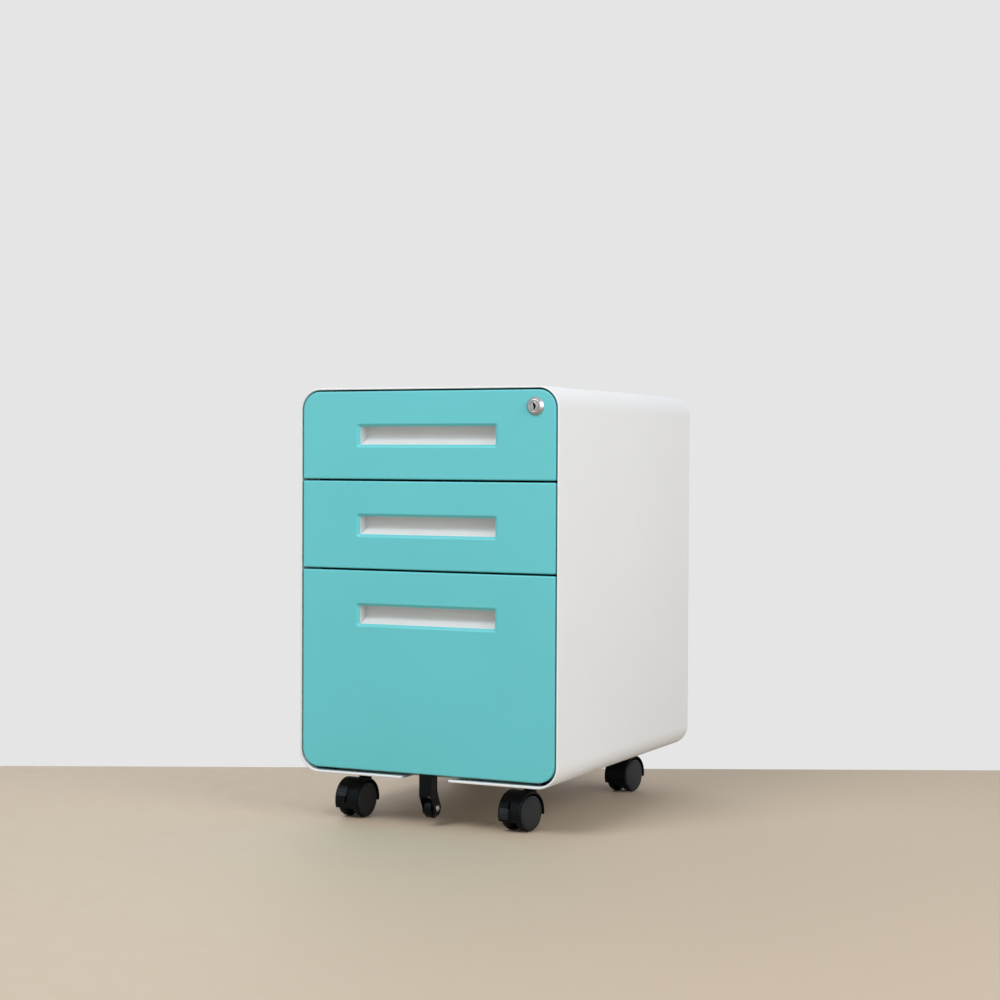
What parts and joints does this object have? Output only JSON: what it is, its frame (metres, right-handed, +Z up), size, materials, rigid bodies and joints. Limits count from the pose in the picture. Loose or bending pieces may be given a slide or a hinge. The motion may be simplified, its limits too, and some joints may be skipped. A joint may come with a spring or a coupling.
{
  "type": "filing cabinet",
  "caption": "Mobile metal filing cabinet with rounded white case, teal drawer fronts with recessed pulls, a central lock, an anti-tip wheel and swivel casters.",
  "frame": {"origin": "on the floor under the middle of the case", "axes": "+Z up, -Y towards the drawer fronts, +X to the right seen from the front"},
  "size_m": [0.394, 0.5046, 0.6],
  "materials": {
    "white_coat": "white powder coat, fine texture, satin",
    "teal_coat": "teal powder coat, fine texture, satin",
    "black_coat": "black paint, satin",
    "zinc_steel": "zinc plated",
    "chrome": "polished chrome",
    "white_plastic": "moulded, satin",
    "black_plastic": "moulded, fine grain",
    "grey_plastic": "moulded, satin"
  },
  "bodies": {
    "cabinet": {"case_shell": "white_coat", "back_panel": "white_coat", "front_caster_channel": "white_coat", "rear_caster_channel": "white_coat", "left_slide_posts": "zinc_steel", "right_slide_posts": "zinc_steel", "top_outer_rails": "zinc_steel", "middle_outer_rails": "zinc_steel", "file_outer_rails": "zinc_steel", "slide_rivets": "zinc_steel", "lock_bar_guides": "zinc_steel", "caster_stems": "zinc_steel", "caster_nuts": "zinc_steel"},
    "top_drawer": {"top_front": "teal_coat", "top_pull_cup": "white_plastic", "top_tray": "white_coat", "top_inner_rails": "zinc_steel", "top_drawer_screws": "zinc_steel", "lock_body": "chrome", "lock_nut": "zinc_steel"},
    "middle_drawer": {"middle_front": "teal_coat", "middle_pull_cup": "white_plastic", "middle_tray": "white_coat", "middle_inner_rails": "zinc_steel", "middle_drawer_screws": "zinc_steel"},
    "file_drawer": {"file_front": "teal_coat", "file_pull_cup": "white_plastic", "file_tray": "white_coat", "file_inner_rails": "zinc_steel", "file_drawer_screws": "zinc_steel", "hanging_file_rails": "zinc_steel", "anti_tip_bracket": "black_coat", "anti_tip_axle": "zinc_steel"},
    "top_cages": {"top_ball_cages": "zinc_steel"},
    "middle_cages": {"middle_ball_cages": "zinc_steel"},
    "file_middle_rail_pair": {"file_middle_rails": "zinc_steel"},
    "file_outer_cages": {"file_outer_ball_cages": "zinc_steel"},
    "file_inner_cages": {"file_inner_ball_cages": "zinc_steel"},
    "lock_cylinder": {"lock_plug": "chrome", "lock_cam": "zinc_steel"},
    "lock_bar_strip": {"lock_bar": "zinc_steel"},
    "anti_tip_roller": {"anti_tip_wheel": "black_plastic"},
    "front_left_caster": {"front_left_caster_hood": "black_plastic", "front_left_axle": "zinc_steel"},
    "front_left_left_roller": {"front_left_left_wheel": "grey_plastic"},
    "front_left_right_roller": {"front_left_right_wheel": "grey_plastic"},
    "front_left_brake": {"front_left_brake_lever": "black_plastic"},
    "front_right_caster": {"front_right_caster_hood": "black_plastic", "front_right_axle": "zinc_steel"},
    "front_right_left_roller": {"front_right_left_wheel": "grey_plastic"},
    "front_right_right_roller": {"front_right_right_wheel": "grey_plastic"},
    "front_right_brake": {"front_right_brake_lever": "black_plastic"},
    "rear_left_caster": {"rear_left_caster_hood": "black_plastic", "rear_left_axle": "zinc_steel"},
    "rear_left_left_roller": {"rear_left_left_wheel": "grey_plastic"},
    "rear_left_right_roller": {"rear_left_right_wheel": "grey_plastic"},
    "rear_right_caster": {"rear_right_caster_hood": "black_plastic", "rear_right_axle": "zinc_steel"},
    "rear_right_left_roller": {"rear_right_left_wheel": "grey_plastic"},
    "rear_right_right_roller": {"rear_right_right_wheel": "grey_plastic"}
  },
  "joints": [
    {"name": "top_drawer_slide", "type": "slide", "parent": "cabinet", "child": "top_drawer", "axis": [0, -1, 0], "range_m": [0, 0.3]},
    {"name": "middle_drawer_slide", "type": "slide", "parent": "cabinet", "child": "middle_drawer", "axis": [0, -1, 0], "range_m": [0, 0.3]},
    {"name": "file_drawer_slide", "type": "slide", "parent": "cabinet", "child": "file_drawer", "axis": [0, -1, 0], "range_m": [0, 0.4]},
    {"name": "top_cage_slide", "type": "slide", "parent": "cabinet", "child": "top_cages", "axis": [0, -1, 0], "range_m": [0, 0.15]},
    {"name": "middle_cage_slide", "type": "slide", "parent": "cabinet", "child": "middle_cages", "axis": [0, -1, 0], "range_m": [0, 0.15]},
    {"name": "file_middle_rail_slide", "type": "slide", "parent": "cabinet", "child": "file_middle_rail_pair", "axis": [0, -1, 0], "range_m": [0, 0.2]},
    {"name": "file_outer_cage_slide", "type": "slide", "parent": "cabinet", "child": "file_outer_cages", "axis": [0, -1, 0], "range_m": [0, 0.1]},
    {"name": "file_inner_cage_slide", "type": "slide", "parent": "cabinet", "child": "file_inner_cages", "axis": [0, -1, 0], "range_m": [0, 0.3]},
    {"name": "lock_turn", "type": "hinge", "parent": "top_drawer", "child": "lock_cylinder", "pos_m": [0.1624, -0.25, 0.5731], "axis": [0, -1, 0], "range_deg": [0, 90]},
    {"name": "lock_bar_lift", "type": "slide", "parent": "cabinet", "child": "lock_bar_strip", "axis": [0, 0, 1], "range_m": [0, 0.01273]},
    {"name": "anti_tip_spin", "type": "hinge", "parent": "file_drawer", "child": "anti_tip_roller", "pos_m": [0, -0.229, 0.025], "axis": [1, 0, 0], "continuous": true},
    {"name": "front_left_swivel", "type": "hinge", "parent": "cabinet", "child": "front_left_caster", "pos_m": [-0.128, -0.185, 0.055], "axis": [0, 0, 1], "continuous": true},
    {"name": "front_left_left_wheel_spin", "type": "hinge", "parent": "front_left_caster", "child": "front_left_left_roller", "pos_m": [-0.12974, -0.20492, 0.025], "axis": [0.9962, -0.0872, 0], "continuous": true},
    {"name": "front_left_right_wheel_spin", "type": "hinge", "parent": "front_left_caster", "child": "front_left_right_roller", "pos_m": [-0.12974, -0.20492, 0.025], "axis": [0.9962, -0.0872, 0], "continuous": true},
    {"name": "front_left_brake_turn", "type": "hinge", "parent": "front_left_caster", "child": "front_left_brake", "pos_m": [-0.12974, -0.20492, 0.025], "axis": [0.9962, -0.0872, 0], "range_deg": [0, 24]},
    {"name": "front_right_swivel", "type": "hinge", "parent": "cabinet", "child": "front_right_caster", "pos_m": [0.128, -0.185, 0.055], "axis": [0, 0, 1], "continuous": true},
    {"name": "front_right_left_wheel_spin", "type": "hinge", "parent": "front_right_caster", "child": "front_right_left_roller", "pos_m": [0.12384, -0.20456, 0.025], "axis": [0.9781, -0.2079, 0], "continuous": true},
    {"name": "front_right_right_wheel_spin", "type": "hinge", "parent": "front_right_caster", "child": "front_right_right_roller", "pos_m": [0.12384, -0.20456, 0.025], "axis": [0.9781, -0.2079, 0], "continuous": true},
    {"name": "front_right_brake_turn", "type": "hinge", "parent": "front_right_caster", "child": "front_right_brake", "pos_m": [0.12384, -0.20456, 0.025], "axis": [0.9781, -0.2079, 0], "range_deg": [-24, 0]},
    {"name": "rear_left_swivel", "type": "hinge", "parent": "cabinet", "child": "rear_left_caster", "pos_m": [-0.128, 0.189, 0.055], "axis": [0, 0, 1], "continuous": true},
    {"name": "rear_left_left_wheel_spin", "type": "hinge", "parent": "rear_left_caster", "child": "rear_left_left_roller", "pos_m": [-0.13351, 0.16978, 0.025], "axis": [0.9613, -0.2756, 0], "continuous": true},
    {"name": "rear_left_right_wheel_spin", "type": "hinge", "parent": "rear_left_caster", "child": "rear_left_right_roller", "pos_m": [-0.13351, 0.16978, 0.025], "axis": [0.9613, -0.2756, 0], "continuous": true},
    {"name": "rear_right_swivel", "type": "hinge", "parent": "cabinet", "child": "rear_right_caster", "pos_m": [0.128, 0.189, 0.055], "axis": [0, 0, 1], "continuous": true},
    {"name": "rear_right_left_wheel_spin", "type": "hinge", "parent": "rear_right_caster", "child": "rear_right_left_roller", "pos_m": [0.12504, 0.16922, 0.025], "axis": [0.989, -0.1478, 0], "continuous": true},
    {"name": "rear_right_right_wheel_spin", "type": "hinge", "parent": "rear_right_caster", "child": "rear_right_right_roller", "pos_m": [0.12504, 0.16922, 0.025], "axis": [0.989, -0.1478, 0], "continuous": true}
  ],
  "couplings": [
    {"joint": "top_cage_slide", "follows": "top_drawer_slide", "ratio": 0.5},
    {"joint": "middle_cage_slide", "follows": "middle_drawer_slide", "ratio": 0.5},
    {"joint": "file_middle_rail_slide", "follows": "file_drawer_slide", "ratio": 0.5},
    {"joint": "file_outer_cage_slide", "follows": "file_drawer_slide", "ratio": 0.25},
    {"joint": "file_inner_cage_slide", "follows": "file_drawer_slide", "ratio": 0.75},
    {"joint": "lock_turn", "follows": "lock_bar_lift", "rad_per_m": 123.41}
  ]
}
